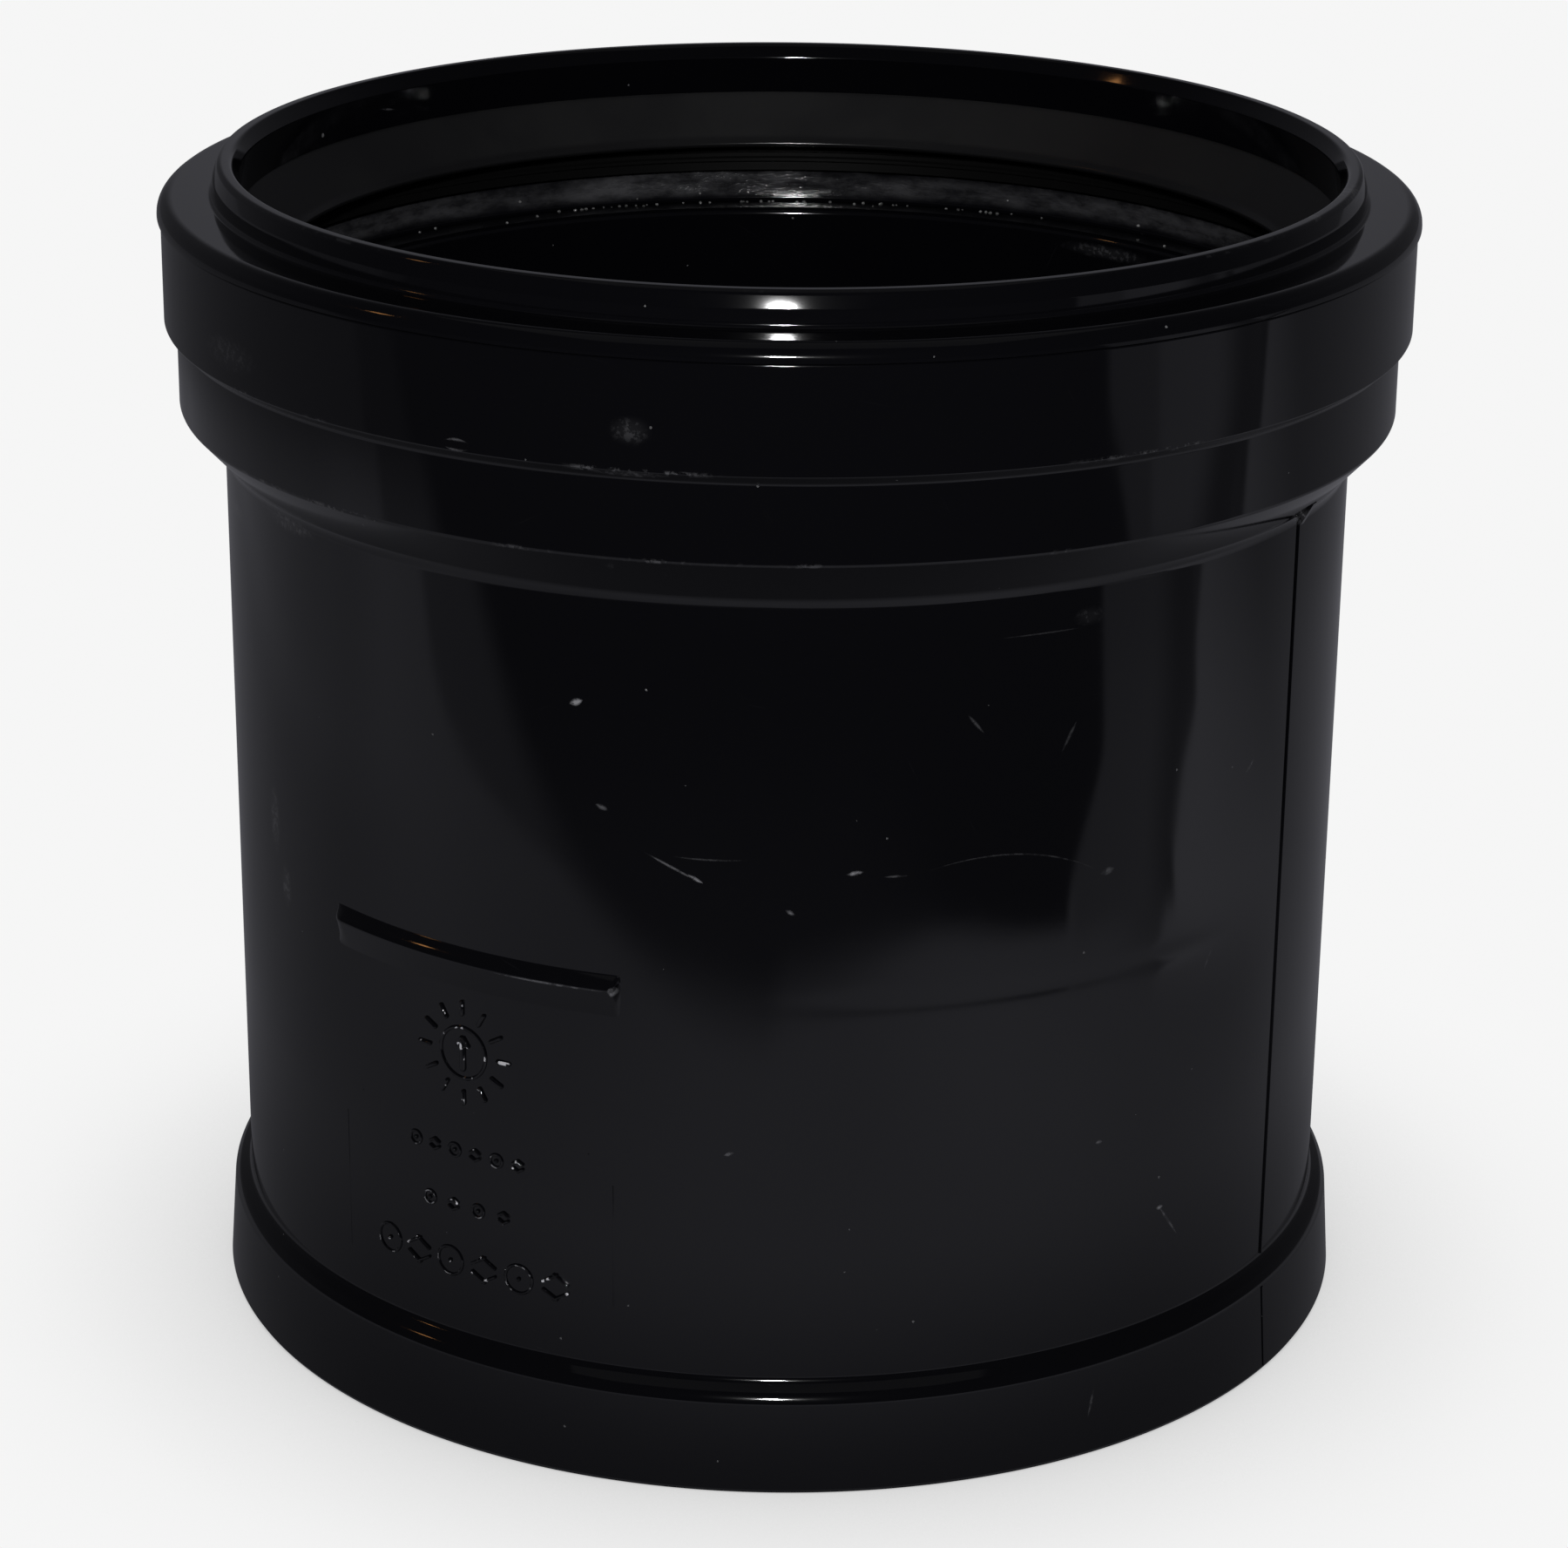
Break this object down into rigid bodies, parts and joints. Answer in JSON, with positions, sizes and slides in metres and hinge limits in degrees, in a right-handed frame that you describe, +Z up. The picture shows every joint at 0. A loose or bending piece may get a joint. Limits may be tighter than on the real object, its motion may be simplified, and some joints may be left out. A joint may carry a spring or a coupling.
{
  "type": "rock tumbler barrel",
  "caption": "Round black plastic barrel with an open mouth, a rubber lip seal under a snap-in retaining cap, and a bonded base plug.",
  "frame": {"origin": "centre of the foot ring, on the surface that the barrel stands on", "axes": "+Z up along the barrel's axis, out of the mouth; the front is -Y, and the marking rib is left of the front, towards -X"},
  "size_m": [0.1282, 0.1282, 0.1209],
  "materials": {
    "shell_plastic": "glossy injection-moulded black, lightly scratched",
    "seal_rubber": "matt dark grey rubber, lightly greased",
    "cap_plastic": "glossy injection-moulded black",
    "plug_plastic": "glossy injection-moulded black"
  },
  "bodies": {
    "barrel": {"barrel_body": "shell_plastic", "seal_ring": "seal_rubber", "base_plug": "plug_plastic"},
    "cap": {"retaining_cap": "cap_plastic"}
  },
  "joints": [
    {"name": "cap_lift", "type": "slide", "parent": "barrel", "child": "cap", "axis": [0, 0, 1], "range_m": [0, 0.03]}
  ]
}
